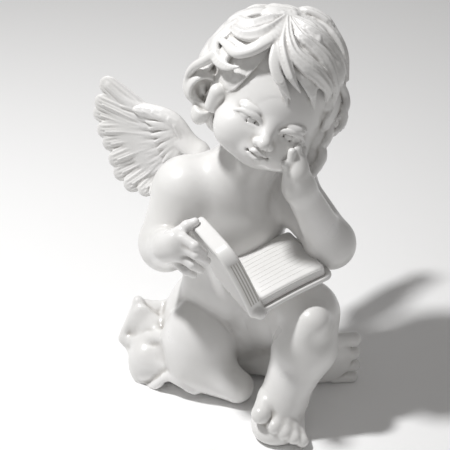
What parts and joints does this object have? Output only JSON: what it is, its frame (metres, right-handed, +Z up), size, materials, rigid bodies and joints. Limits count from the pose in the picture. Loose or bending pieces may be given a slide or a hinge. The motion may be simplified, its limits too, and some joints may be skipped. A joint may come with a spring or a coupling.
{
  "type": "reading cherub statue",
  "caption": "Seated winged child statue with curly hair, reading an open book on its lap, cheek resting on its hand, a fold of cloth under its hip and a flat underside.",
  "frame": {"origin": "centre of the bounding box in plan, on the plane that the statue stands on", "axes": "+Z up, -Y towards the side the face and the book look to, +X to the viewer's right, the figure's left"},
  "size_m": [0.2044, 0.2162, 0.3],
  "materials": {
    "resin": "glossy white cast resin"
  },
  "bodies": {
    "root": {"reading_cherub": "resin"}
  },
  "joints": []
}
